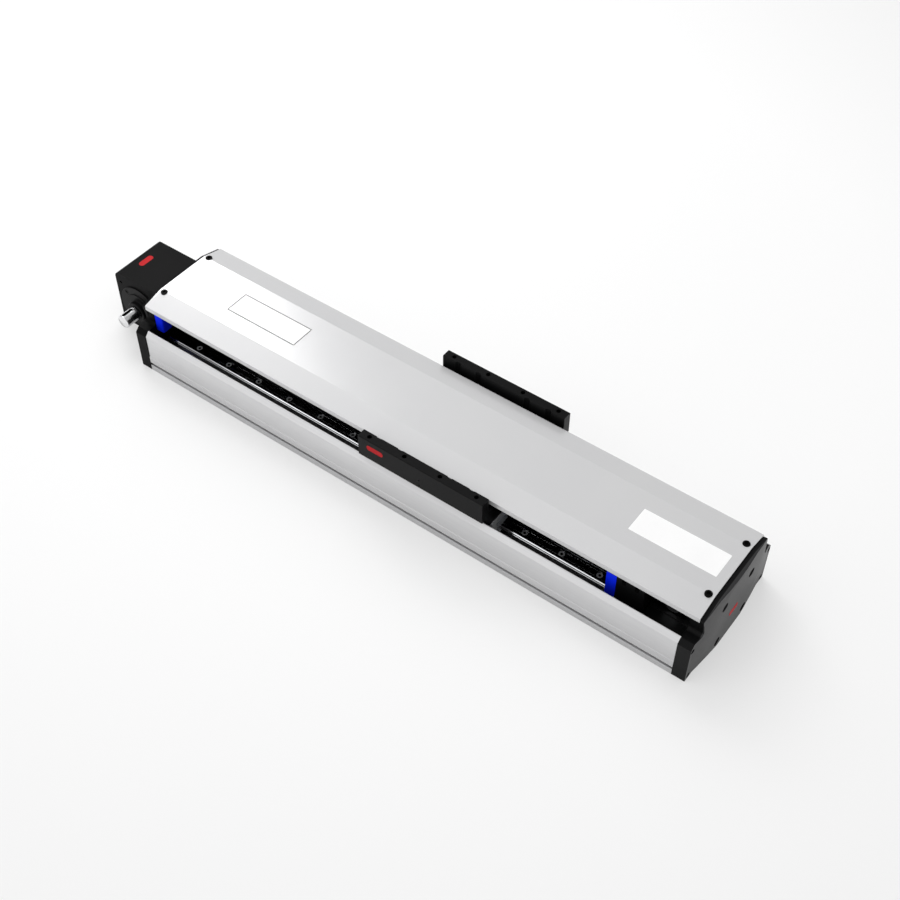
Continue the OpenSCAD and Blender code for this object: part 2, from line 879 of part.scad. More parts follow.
module block_cap_profile() {
    difference() {
        mirrored_profile([[12.6, block_foot + 0.4], [14.6, block_foot + 0.4], [16, 7], [16, 11],
            [block_w / 2 - 0.6, 15.5], [block_w / 2 - 0.6, block_h - 2.5], [block_w / 2 - 3, block_h - 0.6]]);
        block_channel();
    }
}

module block_end_caps() {
    color("gray")
        for (x = [-1, 1], s = [-1, 1], e = [-1, 1])
            sweep_x(table_x + x * block_pitch / 2 + e * (block_l - block_cap_l) / 2 - block_cap_l / 2,
                block_cap_l)
                translate([s * rail_y, seat_z])
                    block_cap_profile();
}

// ---- table ----

module table_plate() {
    color("dimgray")
        difference() {
            sweep_x(table_x - table_l / 2, table_l)
                mirrored_profile([[34, channel_z], [34, plate_z], [plate_w / 2 - 2, plate_z],
                    [plate_w / 2, plate_z + 2], [plate_w / 2, plate_top]]);
            for (x = [-1, 1], s = [-1, 1], dx = [-1, 1], dy = [-1, 1])
                translate([table_x + x * block_pitch / 2 + dx * block_bolt_x,
                    s * rail_y + dy * block_bolt_y, 0]) {
                    rod_z([0, 0, plate_z - 1], plate_t + 2, m5[0] + bolt_gap);
                    rod_z([0, 0, plate_top - 6], 10, m5[1] + 0.4);
                }
            for (x = bar_screw_x, s = [-1, 1])
                rod_z([table_x + x, s * bar_screw_y, plate_z + 4], plate_t, m6[0]);
            for (x = [-1, 1], dx = [-1, 1], s = [-1, 1])
                rod_z([table_x + x * 60 + dx * 25, s * clamp_screw_y, plate_z], 18, m5[0]);
        }
}

module block_screws() {
    color("black")
        for (x = [-1, 1], s = [-1, 1], dx = [-1, 1], dy = [-1, 1])
            translate([table_x + x * block_pitch / 2 + dx * block_bolt_x,
                s * rail_y + dy * block_bolt_y, plate_top - 6])
                screw(m5, 20);
}

module bar_profile() {
    polygon([[bar_foot_y, plate_top], [half_w - 1, plate_top], [half_w, plate_top + 1],
        [half_w, bar_top_z - 1], [half_w - 1, bar_top_z], [bar_y0 + 1, bar_top_z],
        [bar_y0, bar_top_z - 1], [bar_y0, bar_foot_z], [bar_foot_y, bar_foot_z]]);
}

// The bar on the +Y side.
module bar() {
    color("dimgray")
        difference() {
            sweep_x(table_x - table_l / 2, table_l)
                bar_profile();
            for (x = bar_screw_x) {
                rod_z([table_x + x, bar_screw_y, plate_top - 1], 20, m6[0] + bolt_gap);
                rod_z([table_x + x, bar_screw_y, bar_foot_z - 6], 50, notch_r);
            }
            for (i = [-1.5:1.5])
                rod_z([table_x + i * load_hole_pitch, load_hole_y, bar_top_z - 20], 21, load_hole_r);
            for (z = [plate_top + 6, plate_top + 16])
                rod_y([table_x, half_w - 5, z], 6, 1.25);
        }
}

module bar_far() {
    bar();
}

module bar_near() {
    mirror([0, 1, 0])
        bar();
}

module bar_screws() {
    color("black")
        for (x = bar_screw_x, s = [-1, 1])
            translate([table_x + x, s * bar_screw_y, bar_foot_z - 6])
                screw(m6, 18);
}

// A clamp plate with grooves for the belt's teeth; side = -1 or 1 along the table.
module belt_clamp(side) {
    x0 = table_x + side * 60 - 38;
    first = ceil((x0 + 4 - drive_x) / belt_pitch);
    last = floor((x0 + 72 - drive_x) / belt_pitch);
    color("silver")
        difference() {
            translate([x0, -clamp_w / 2, clamp_z])
                cube([76, clamp_w, channel_z - clamp_z]);
            translate([x0 - 1, -belt_w / 2 - moving_gap, axis_z + land_r - 0.3])
                cube([78, belt_w + 2 * moving_gap, 20]);
            for (k = [first - 1:last + 1])
                translate([drive_x + k * belt_pitch, 0, axis_z + land_r])
                    sweep_y(belt_w + 2 * moving_gap)
                        polygon([[-3, 0.1], [-2.7, -1.9], [-1.6, -tooth_h - 0.3], [1.6, -tooth_h - 0.3],
                            [2.7, -1.9], [3, 0.1]]);
            for (dx = [-1, 1], s = [-1, 1]) {
                rod_z([table_x + side * 60 + dx * 25, s * clamp_screw_y, clamp_z - 1], 20, m5[0] + bolt_gap);
                rod_z([table_x + side * 60 + dx * 25, s * clamp_screw_y, clamp_z - 1], 6.5, m5[1] + 0.25);
            }
        }
}

module clamp_screws() {
    color("black")
        for (x = [-1, 1], dx = [-1, 1], s = [-1, 1])
            translate([table_x + x * 60 + dx * 25, s * clamp_screw_y, clamp_z + 5.5])
                rotate([180, 0, 0])
                    screw(m5, 16);
}

// ---- bumpers ----

// A rubber block on the +Y side with rounded vertical edges towards the table.
module bumper_block(x0, face, t, z0, z1) {
    r = 2.5;
    far = x0 + face * t;
    y0 = bracket_y - bumper_w;
    ends = face > 0
        ? concat(arc([far - r, y0 + r], r, -90, 0, 5), arc([far - r, bracket_y - r], r, 0, 90, 5))
        : concat(arc([far + r, bracket_y - r], r, 90, 180, 5), arc([far + r, y0 + r], r, 180, 270, 5));
    foot = face > 0 ? [[x0, bracket_y], [x0, y0]] : [[x0, y0], [x0, bracket_y]];
    color("blue")
        translate([0, 0, z0])
            linear_extrude(z1 - z0)
                polygon(concat(ends, foot));
}

module bumper_drive_far() {
    bumper_block(-half_l, 1, bumper_t, bumper_z, 97);
}

module bumper_drive_near() {
    mirror([0, 1, 0])
        bumper_drive_far();
}

module bumper_idler_far() {
    bumper_block(bracket_x0, -1, idler_bumper_t, bracket_z, 95);
}

module bumper_idler_near() {
    mirror([0, 1, 0])
        bumper_idler_far();
}

module rail_near() {
    rail(-1);
}

module rail_far() {
    rail(1);
}

module rail_screws_near() {
    rail_screws_row(-1);
}

module rail_screws_far() {
    rail_screws_row(1);
}

module block_near_drive() {
    block_at(table_x - block_pitch / 2, -1);
}

module block_near_idler() {
    block_at(table_x + block_pitch / 2, -1);
}

module block_far_drive() {
    block_at(table_x - block_pitch / 2, 1);
}

module block_far_idler() {
    block_at(table_x + block_pitch / 2, 1);
}

module belt_clamp_drive() {
    belt_clamp(-1);
}

module belt_clamp_idler() {
    belt_clamp(1);
}

base_extrusion();
top_cover();
drive_end_cap();
idler_end_cap();
drive_housing();
bearing_cover_near();
bearing_cover_far();
drive_bearing_near();
drive_bearing_far();
drive_shaft();
drive_pulley();
pulley_key();
timing_belt();
idler_bracket();
idler_shaft();
idler_pulley();
idler_bearings();
rail_near();
rail_far();
rail_screws_near();
rail_screws_far();
block_near_drive();
block_near_idler();
block_far_drive();
block_far_idler();
block_end_caps();
table_plate();
bar_near();
bar_far();
bar_screws();
block_screws();
belt_clamp_drive();
belt_clamp_idler();
clamp_screws();
bumper_drive_near();
bumper_drive_far();
bumper_idler_near();
bumper_idler_far();
cover_screws();
drive_cap_screws();
idler_cap_screws();
tension_screws();
bracket_screws();
housing_screws();
bearing_cover_screws();
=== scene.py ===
import json
import math

import bmesh
import bpy
from mathutils import Matrix, Quaternion, Vector


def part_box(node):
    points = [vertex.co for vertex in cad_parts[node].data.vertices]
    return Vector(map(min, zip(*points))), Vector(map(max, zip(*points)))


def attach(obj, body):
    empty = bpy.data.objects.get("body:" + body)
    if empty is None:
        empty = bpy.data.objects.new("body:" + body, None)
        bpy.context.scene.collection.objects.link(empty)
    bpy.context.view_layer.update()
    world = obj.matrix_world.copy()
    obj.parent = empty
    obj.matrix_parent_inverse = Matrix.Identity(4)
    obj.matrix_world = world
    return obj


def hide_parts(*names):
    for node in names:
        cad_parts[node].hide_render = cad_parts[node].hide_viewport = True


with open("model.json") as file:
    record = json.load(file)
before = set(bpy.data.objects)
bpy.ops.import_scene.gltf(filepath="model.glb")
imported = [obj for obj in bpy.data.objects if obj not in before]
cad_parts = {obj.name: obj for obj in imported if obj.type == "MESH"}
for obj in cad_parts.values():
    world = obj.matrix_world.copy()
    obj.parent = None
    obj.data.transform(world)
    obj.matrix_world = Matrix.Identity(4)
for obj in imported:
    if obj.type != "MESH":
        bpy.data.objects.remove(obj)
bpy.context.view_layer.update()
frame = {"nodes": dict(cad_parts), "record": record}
nodes = frame["nodes"]
mm = 0.001
print("frame loaded:", len(nodes), "nodes")


# ---- materials ----

# shared by all finishes: where the pattern turns from dark to light, its detail and its depth
grain = {"low": 0.3, "high": 0.7, "broadDetail": 5.0, "fineDetail": 3.0, "roughness": 0.6,
         "depth": 0.05 * mm}
# what a look has where it gives nothing else
plainLook = {"metal": 0.0, "specular": 0.5, "broadScale": 9.0, "broadStretch": (1, 1, 1),
             "fineScale": 900.0, "fineStretch": (1, 1, 1), "fineShare": 0.35, "bump": 0.1}


def addNode(tree, kind, settings=None, inputs=None):
    made = tree.nodes.new(kind)
    for name, value in (settings or {}).items():
        setattr(made, name, value)
    for name, value in (inputs or {}).items():
        made.inputs[name].default_value = value
    return made


def grainTexture(tree, scale, detail, stretch):
    # a noise on the piece's own place, stretched along one axis for drawn and ground faces
    place = addNode(tree, "ShaderNodeTexCoord")
    mapping = addNode(tree, "ShaderNodeMapping", inputs={"Scale": stretch})
    tree.links.new(place.outputs["Object"], mapping.inputs["Vector"])
    pattern = addNode(tree, "ShaderNodeTexNoise", inputs={"Scale": scale, "Detail": detail,
                                                         "Roughness": grain["roughness"]})
    tree.links.new(mapping.outputs["Vector"], pattern.inputs["Vector"])
    return pattern.outputs["Fac"]


def placeAxes(tree):
    # X, Y and Z of the surface point, for tones that change at a given place
    place = addNode(tree, "ShaderNodeTexCoord")
    split = addNode(tree, "ShaderNodeSeparateXYZ")
    tree.links.new(place.outputs["Object"], split.inputs[0])
    return split.outputs


def measureNode(tree, operation, first, second=None):
    # one step of arithmetic on node outputs or plain numbers
    step = addNode(tree, "ShaderNodeMath", {"operation": operation})
    for socket, value in zip(step.inputs, (first, second)):
        if value is None:
            continue
        if isinstance(value, (int, float)):
            socket.default_value = value
        else:
            tree.links.new(value, socket)
    return step.outputs[0]


def innerMask(tree, inner):
    # 1 on faces that look into the closed inside of the axis, by their place, where a painted shade goes: a
    # near-black tone standing for the dark inside
    axes = placeAxes(tree)
    side = measureNode(tree, "ABSOLUTE", axes["Y"])
    within = measureNode(tree, "LESS_THAN", side, inner["half"])
    if "over" in inner:
        level = measureNode(tree, "GREATER_THAN", axes["Z"], inner["over"])
    else:
        # past the fold the limit comes down with the slanted sheet
        beyond = measureNode(tree, "MAXIMUM", measureNode(tree, "SUBTRACT", side, inner["fold"]), 0.0)
        drop = measureNode(tree, "MULTIPLY", beyond, inner["slope"])
        limit = measureNode(tree, "SUBTRACT", inner["under"], drop)
        level = measureNode(tree, "LESS_THAN", axes["Z"], limit)
    return measureNode(tree, "MULTIPLY", within, level)


def mixTone(tree, mask, colour, tone):
    # the given tone where the mask is 1, the colour from before elsewhere
    mix = addNode(tree, "ShaderNodeMix", {"data_type": "RGBA"}, {7: (*tone, 1)})
    tree.links.new(mask, mix.inputs[0])
    tree.links.new(colour, mix.inputs[6])
    return mix.outputs[2]


def paintedFootShade(tree, foot, colour):
    # painted shade: the tone falls a little towards the foot
    rise = addNode(tree, "ShaderNodeMapRange", inputs={"From Min": 0.0, "From Max": foot["height"],
                                                      "To Min": foot["share"], "To Max": 1.0})
    tree.links.new(placeAxes(tree)["Z"], rise.inputs["Value"])
    lower = addNode(tree, "ShaderNodeMix", {"data_type": "RGBA", "blend_type": "MULTIPLY"}, {0: 1.0})
    tree.links.new(colour, lower.inputs[6])
    tree.links.new(rise.outputs["Result"], lower.inputs[7])
    return lower.outputs[2]


def keywayMask(tree, keyway):
    # 1 in the sunk keyway, by its distance from the shaft's axis and its place along it, where a near-black
    # painted shade goes
    axes = placeAxes(tree)
    across = measureNode(tree, "SUBTRACT", axes["X"], keyway["axis"][0])
    upward = measureNode(tree, "SUBTRACT", axes["Z"], keyway["axis"][1])
    acrossSquare = measureNode(tree, "MULTIPLY", across, across)
    upwardSquare = measureNode(tree, "MULTIPLY", upward, upward)
    reach = measureNode(tree, "SQRT", measureNode(tree, "ADD", acrossSquare, upwardSquare))
    sunk = measureNode(tree, "LESS_THAN", reach, keyway["radius"])
    before = measureNode(tree, "LESS_THAN", axes["Y"], keyway["from"])
    behind = measureNode(tree, "GREATER_THAN", axes["Y"], keyway["to"])
    return measureNode(tree, "MULTIPLY", sunk, measureNode(tree, "MULTIPLY", before, behind))


def makeFinish(name, given):
    # one finish: two tones mixed by a broad pattern and a fine one, with the bump from the fine one
    look = {**plainLook, **given}
    material = bpy.data.materials.new(name)
    material.use_nodes = True
    tree = material.node_tree
    shader = tree.nodes["Principled BSDF"]
    shader.inputs["Metallic"].default_value = look["metal"]
    shader.inputs["Specular IOR Level"].default_value = look["specular"]
    broad = grainTexture(tree, look["broadScale"], grain["broadDetail"], look["broadStretch"])
    fine = grainTexture(tree, look["fineScale"], grain["fineDetail"], look["fineStretch"])
    blend = addNode(tree, "ShaderNodeMix", {"data_type": "FLOAT"}, {0: look["fineShare"]})
    tree.links.new(broad, blend.inputs[2])
    tree.links.new(fine, blend.inputs[3])
    ramp = addNode(tree, "ShaderNodeValToRGB")
    for element, position, tone in zip(ramp.color_ramp.elements, ("low", "high"), ("dark", "light")):
        element.position = grain[position]
        element.color = (*look[tone], 1)
    tree.links.new(blend.outputs[0], ramp.inputs["Fac"])
    colour = ramp.outputs["Color"]
    # painted shade: darker towards the foot
    if "foot" in look:
        colour = paintedFootShade(tree, look["foot"], colour)
    # painted shade: near black on the faces inside the closed axis
    if "inner" in look:
        colour = mixTone(tree, innerMask(tree, look["inner"]), colour, look["inner"]["tone"])
    if "frontSheenAndPaintedLight" in look:
        # a front face with a stronger sheen than the sides, and a lighter tone there that is painted light
        beyond = measureNode(tree, "GREATER_THAN", placeAxes(tree)["X"], look["frontSheenAndPaintedLight"]["beyond"])
        sheen = addNode(tree, "ShaderNodeMapRange", inputs={"To Min": look["specular"],
                                                           "To Max": look["frontSheenAndPaintedLight"]["specular"]})
        tree.links.new(beyond, sheen.inputs["Value"])
        tree.links.new(sheen.outputs["Result"], shader.inputs["Specular IOR Level"])
        colour = mixTone(tree, beyond, colour, look["frontSheenAndPaintedLight"]["tone"])
    # painted shade: near black inside the sunk keyway
    if "keyway" in look:
        colour = mixTone(tree, keywayMask(tree, look["keyway"]), colour, look["keyway"]["tone"])
    tree.links.new(colour, shader.inputs["Base Color"])
    low, high = look["rough"]
    span = addNode(tree, "ShaderNodeMapRange", inputs={"From Min": grain["low"], "From Max": grain["high"],
                                                      "To Min": low, "To Max": high})
    tree.links.new(blend.outputs[0], span.inputs["Value"])
    tree.links.new(span.outputs["Result"], shader.inputs["Roughness"])
    bump = addNode(tree, "ShaderNodeBump", inputs={"Strength": look["bump"], "Distance": grain["depth"]})
    tree.links.new(fine, bump.inputs["Height"])
    tree.links.new(bump.outputs["Normal"], shader.inputs["Normal"])
    return material


# heights and distances in a look are metres in the object's own frame
finishes = {
    "drawnAluminium": {"dark": (0.66, 0.66, 0.67), "light": (0.74, 0.74, 0.745), "metal": 0.45,
                       "rough": (0.34, 0.44), "broadScale": 30.0, "broadStretch": (0.12, 1, 1),
                       "fineScale": 700.0, "fineStretch": (0.02, 1, 1), "fineShare": 0.5, "bump": 0.12,
                       # inner: painted shade, a near-black tone on the faces inside the trough
                       "inner": {"tone": (0.03, 0.03, 0.031), "half": 0.0967, "over": 0.0135},
                       # foot: painted shade, the tone falls towards the foot
                       "foot": {"height": 0.06, "share": 0.8}},
    "coverSheet": {"dark": (0.63, 0.63, 0.64), "light": (0.65, 0.65, 0.655), "metal": 0.3,
                   "rough": (0.24, 0.26), "broadScale": 6.0, "fineScale": 1400.0, "fineShare": 0.2,
                   "bump": 0.04,
                   # inner: painted shade, near black on the sheet's underside
                   "inner": {"tone": (0.02, 0.02, 0.02), "half": 0.0815, "fold": 0.0475, "slope": 0.2535,
                             "under": 0.1155}},
    "blackAnodised": {"dark": (0.0028, 0.0028, 0.003), "light": (0.006, 0.006, 0.0062),
                      "specular": 0.10, "rough": (0.36, 0.48), "fineScale": 1600.0},
    "housingAnodised": {"dark": (0.0024, 0.0024, 0.0026), "light": (0.0048, 0.0048, 0.005),
                        "specular": 0.045, "rough": (0.40, 0.5), "fineScale": 1600.0},
    "capAnodised": {"dark": (0.0028, 0.0028, 0.003), "light": (0.006, 0.006, 0.0062),
                    "specular": 0.10, "rough": (0.34, 0.44), "fineScale": 1600.0,
                    # frontSheenAndPaintedLight: a stronger sheen on the front face, and a lighter tone
                    # there that is painted light
                    "frontSheenAndPaintedLight": {"beyond": 0.4838, "specular": 0.4, "tone": (0.017, 0.017, 0.0175)}},
    "blackOxide": {"dark": (0.001, 0.001, 0.001), "light": (0.003, 0.003, 0.003),
                   "specular": 0.05, "rough": (0.35, 0.5), "fineScale": 2500.0},
    "brightZinc": {"dark": (0.52, 0.53, 0.55), "light": (0.68, 0.69, 0.70), "metal": 0.6,
                   "rough": (0.3, 0.42), "fineScale": 2200.0},
    "groundSteel": {"dark": (0.56, 0.57, 0.59), "light": (0.66, 0.67, 0.69), "metal": 1.0,
                    "rough": (0.09, 0.13), "broadScale": 40.0, "broadStretch": (0.1, 1, 1),
                    "fineScale": 1500.0, "fineStretch": (0.03, 1, 1), "fineShare": 0.5, "bump": 0.008},
    "polishedShaft": {"dark": (0.70, 0.71, 0.72), "light": (0.80, 0.80, 0.81), "metal": 1.0,
                      "rough": (0.16, 0.24), "fineScale": 1800.0, "fineStretch": (1, 0.1, 1), "bump": 0.06,
                      # keyway: painted shade, near black inside the sunk keyway
                      "keyway": {"axis": (-0.536, 0.045), "radius": 0.0108, "from": -0.0622, "to": -0.0838,
                                 "tone": (0.01, 0.01, 0.01)}},
    "bearingSteel": {"dark": (0.45, 0.46, 0.48), "light": (0.60, 0.61, 0.62), "metal": 1.0,
                     "rough": (0.2, 0.35), "fineScale": 1500.0, "bump": 0.08},
    "turnedPulley": {"dark": (0.55, 0.56, 0.57), "light": (0.68, 0.69, 0.70), "metal": 0.9,
                     "rough": (0.3, 0.42), "fineStretch": (1, 0.1, 1), "bump": 0.12},
    "beltRubber": {"dark": (0.008, 0.008, 0.008), "light": (0.02, 0.019, 0.018), "specular": 0.2,
                   "rough": (0.6, 0.8), "fineScale": 1200.0, "fineStretch": (1, 0.2, 1), "bump": 0.3},
    "milledClamp": {"dark": (0.58, 0.59, 0.60), "light": (0.70, 0.71, 0.72), "metal": 0.8,
                    "rough": (0.3, 0.45), "fineScale": 800.0, "fineStretch": (1, 0.1, 1), "bump": 0.12},
    "sealPlastic": {"dark": (0.66, 0.67, 0.68), "light": (0.80, 0.81, 0.82),
                    "rough": (0.45, 0.6), "fineScale": 1500.0, "bump": 0.15},
    "blueElastomer": {"dark": (0.0005, 0.014, 0.84), "light": (0.001, 0.024, 0.98),
                      "specular": 0.12, "rough": (0.5, 0.62), "fineScale": 1300.0},
    "redEnamel": {"dark": (0.42, 0.016, 0.020), "light": (0.54, 0.026, 0.030),
                  "specular": 0.04, "rough": (0.4, 0.5), "fineScale": 1600.0, "bump": 0.05},
    "blankSticker": {"dark": (0.86, 0.86, 0.86), "light": (0.92, 0.92, 0.92),
                     "specular": 0.3, "rough": (0.45, 0.6), "fineScale": 1800.0, "bump": 0.06},
    "stickerRim": {"dark": (0.02, 0.02, 0.02), "light": (0.04, 0.04, 0.04),
                   "specular": 0.03, "rough": (0.5, 0.65), "fineScale": 1800.0, "bump": 0.06},
}
materials = {name: makeFinish(name, look) for name, look in finishes.items()}

slotFinish = {
    "anodised_extrusion": "drawnAluminium", "cover_sheet": "coverSheet", "black_anodised": "blackAnodised",
    "bright_screw": "brightZinc", "black_screw": "blackOxide", "ground_steel": "groundSteel",
    "seal_plastic": "sealPlastic", "shaft_steel": "polishedShaft", "bearing_steel": "bearingSteel",
    "pulley_aluminium": "turnedPulley", "belt_rubber": "beltRubber", "clamp_aluminium": "milledClamp",
    "blue_bumper": "blueElastomer",
}
nodeSlot = {part["node"]: part["material_slot"] for part in frame["record"]["subparts"]}
for name, piece in nodes.items():
    piece.data.materials.clear()
    piece.data.materials.append(materials[slotFinish[nodeSlot[name]]])
print("finishes:", len(materials))


# ---- softened edges on the machined pieces ----

edgeRules = {"merge": 0.01 * mm, "flat": math.radians(1), "broken": math.radians(28),
             "smooth": math.radians(32), "segments": 2, "weight": 100}


def finishObject(mesh, name, body, finish, smoothAngle=edgeRules["smooth"], weighted=False):
    piece = bpy.data.objects.new(name, mesh)
    bpy.context.scene.collection.objects.link(piece)
    for polygon in mesh.polygons:
        polygon.use_smooth = True
    mesh.set_sharp_from_angle(angle=smoothAngle)
    mesh.materials.append(materials[finish])
    if weighted:
        # large flat faces keep their own normal beside the small rounded ones
        even = piece.modifiers.new("evenNormals", "WEIGHTED_NORMAL")
        even.keep_sharp = True
        even.weight = edgeRules["weight"]
    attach(piece, body)
    return piece


def openNode(nodeName):
    # a bare copy of a CAD node's mesh with its triangles joined, ready for edits
    mesh = nodes[nodeName].data.copy()
    mesh.materials.clear()
    work = bmesh.new()
    work.from_mesh(mesh)
    bmesh.ops.remove_doubles(work, verts=work.verts, dist=edgeRules["merge"])
    return mesh, work


def breakEdges(nodeName, plan):
    # a copy of the machined piece with its sharp edges broken, standing for the plain one
    mesh, work = openNode(nodeName)
    bmesh.ops.dissolve_limit(work, angle_limit=edgeRules["flat"], verts=work.verts, edges=work.edges)
    sharp = [e for e in work.edges if len(e.link_faces) == 2 and e.calc_face_angle(0) > edgeRules["broken"]
             and e.calc_length() > plan.get("least", 0.0)]
    bmesh.ops.bevel(work, geom=sharp, offset=plan["width"], offset_type="OFFSET", affect="EDGES",
                    segments=edgeRules["segments"], profile=0.5, material=-1, clamp_overlap=True)
    work.to_mesh(mesh)
    work.free()
    slot = nodeSlot[nodeName]
    piece = finishObject(mesh, nodeName + "Edged", plan["body"], plan.get("finish", slotFinish[slot]),
                         weighted=True)
    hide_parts(nodeName)


# width of the broken edge, and for the long pieces the least length of an edge that is broken
edged = {
    "drive_end_cap": {"body": "frame", "width": 0.5 * mm, "finish": "housingAnodised"},
    "drive_housing": {"body": "frame", "width": 0.6 * mm, "finish": "housingAnodised"},
    "idler_end_cap": {"body": "frame", "width": 0.5 * mm, "finish": "capAnodised"},
    "idler_bracket": {"body": "frame", "width": 0.4 * mm},
    "table_plate": {"body": "table", "width": 0.4 * mm},
    "bar_near": {"body": "table", "width": 0.4 * mm},
    "bar_far": {"body": "table", "width": 0.4 * mm},
    "base_extrusion": {"body": "frame", "width": 0.35 * mm, "least": 300 * mm},
    "top_cover": {"body": "frame", "width": 0.3 * mm, "least": 300 * mm},
}
for name, plan in edged.items():
    breakEdges(name, plan)
print("edges broken on", len(edged), "pieces")


# ---- guide rails, their screws and the shaft's free end ----

rails = {"names": ("rail_near", "rail_far"), "grooveSide": 9.1 * mm, "grooveHeight": 13.95 * mm,
         "drop": 0.25 * mm, "reach": 0.05 * mm, "smooth": math.radians(20)}
# sockets: where the painted shade plates sit in the rail screws' hexagon sockets
sockets = {"names": ("rail_screws_near", "rail_screws_far"), "pitch": 60 * mm, "headRadius": 4.25 * mm,
           "sides": 6, "radius": 2.3 * mm, "sunk": 0.25 * mm, "depth": 0.1 * mm}
shaftEnd = {"cut": -60 * mm, "slack": 0.001 * mm, "turn": math.radians(32)}


def openGroove(nodeName, plan):
    # the rail with the lower flank of its side groove laid back a little, so that it catches the light
    mesh, work = openNode(nodeName)
    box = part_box(nodeName)
    middle = (box[0].y + box[1].y) / 2
    height = box[0].z + plan["grooveHeight"]
    for vertex in work.verts:
        onSide = abs(abs(vertex.co.y - middle) - plan["grooveSide"]) < plan["reach"]
        if onSide and abs(vertex.co.z - height) < plan["reach"]:
            vertex.co.z -= plan["drop"]
    work.to_mesh(mesh)
    work.free()
    piece = finishObject(mesh, nodeName + "Ground", "frame", "groundSteel",
                         smoothAngle=plan["smooth"], weighted=True)
    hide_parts(nodeName)


def paintedSocketShades(nodeName, plan):
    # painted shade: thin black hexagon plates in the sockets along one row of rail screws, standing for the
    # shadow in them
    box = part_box(nodeName)
    first = box[0].x + plan["headRadius"]
    count = round((box[1].x - plan["headRadius"] - first) / plan["pitch"]) + 1
    work = bmesh.new()
    for i in range(count):
        place = Vector((first + i * plan["pitch"], (box[0].y + box[1].y) / 2, box[1].z - plan["sunk"]))
        bmesh.ops.create_cone(work, cap_ends=True, segments=plan["sides"], radius1=plan["radius"],
                              radius2=plan["radius"], depth=plan["depth"], matrix=Matrix.Translation(place))
    mesh = bpy.data.meshes.new(nodeName + "PaintedSocketShade")
    work.to_mesh(mesh)
    work.free()
    finishObject(mesh, nodeName + "PaintedSocketShade", "frame", "blackOxide")


def turnFreeEnd(nodeName, plan):
    # the shaft with its free end turned about the shaft's own axis, keyway and all
    mesh, work = openNode(nodeName)
    parts = bmesh.ops.bisect_plane(work, geom=work.verts[:] + work.edges[:] + work.faces[:],
                                   dist=plan["slack"], plane_co=(0, plan["cut"], 0), plane_no=(0, 1, 0))
    bmesh.ops.split_edges(work, edges=[g for g in parts["geom_cut"] if isinstance(g, bmesh.types.BMEdge)])
    outer = {v for f in work.faces if f.calc_center_median().y < plan["cut"] for v in f.verts}
    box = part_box(nodeName)
    centre = Vector(((box[0].x + box[1].x) / 2, 0, (box[0].z + box[1].z) / 2))
    bmesh.ops.rotate(work, cent=centre, matrix=Matrix.Rotation(plan["turn"], 3, "Y"), verts=list(outer))
    work.to_mesh(mesh)
    work.free()
    piece = finishObject(mesh, nodeName + "Turned", "frame", "polishedShaft")
    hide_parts(nodeName)


for name in rails["names"]:
    openGroove(name, rails)
# painted shade plates in the rail screws' sockets
for name in sockets["names"]:
    paintedSocketShades(name, sockets)
turnFreeEnd("drive_shaft", shaftEnd)
print("rails and shaft end")


# ---- blank stickers and red plates ----

# faces in a round corner, how far up a top face has to look, and the sunk middle's share of the thickness
plateRules = {"segments": 8, "upward": 0.9, "sunk": 0.3}


def upwardFaces(work, corners=0):
    # the faces that look up, of those with more corners than given
    return [f for f in work.faces if f.normal.z > plateRules["upward"] and len(f.verts) > corners]


def roundedPlate(name, plan):
    # a thin plate with round corners, its middle sunk inside a rim or framed by a printed line
    segments = plateRules["segments"]
    thickness = plan["thickness"]
    work = bmesh.new()
    bmesh.ops.create_cube(work, size=1.0)
    bmesh.ops.scale(work, vec=(*plan["size"], thickness), verts=work.verts)
    upright = [e for e in work.edges if abs(e.verts[0].co.z - e.verts[1].co.z) > thickness / 2]
    bmesh.ops.bevel(work, geom=upright, offset=plan["corner"], offset_type="OFFSET", affect="EDGES",
                    segments=segments, profile=0.5, material=-1, clamp_overlap=True)
    top = upwardFaces(work)
    if "rim" in plan:
        bmesh.ops.inset_region(work, faces=top, thickness=plan["rim"], depth=0.0)
        top = upwardFaces(work, segments)
        bmesh.ops.translate(work, vec=(0, 0, -thickness * plateRules["sunk"]),
                            verts=list({v for f in top for v in f.verts}))
    if "line" in plan:
        bmesh.ops.inset_region(work, faces=top, thickness=plan["line"]["margin"], depth=0.0)
        top = upwardFaces(work, segments)
        printed = bmesh.ops.inset_region(work, faces=top, thickness=plan["line"]["width"], depth=0.0)
        for face in printed["faces"]:
            face.material_index = 1
    bmesh.ops.transform(work, matrix=Matrix.Translation(plan["place"]) @ plan["turn"], verts=work.verts)
    bmesh.ops.recalc_face_normals(work, faces=work.faces)
    mesh = bpy.data.meshes.new(name)
    work.to_mesh(mesh)
    work.free()
    finishObject(mesh, name, plan["body"], plan["finish"])
    if "line" in plan:
        mesh.materials.append(materials[plan["line"]["finish"]])


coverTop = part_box("top_cover")[1].z
stickerSheet = {"corner": 1.5 * mm, "thickness": 0.2 * mm, "turn": Matrix.Identity(4), "body": "frame",
                "slot": "cover_sheet", "finish": "blankSticker"}
stickers = {
    "stickerDrive": {"size": (0.131, 0.042), "place": (-0.3015, 0, coverTop),
                     "line": {"margin": 0.1 * mm, "width": 1.25 * mm, "finish": "stickerRim"}},
    "stickerIdler": {"size": (0.130, 0.042), "place": (0.399, 0, coverTop)},
}
for name, sticker in stickers.items():
    roundedPlate(name, {**stickerSheet, **sticker})

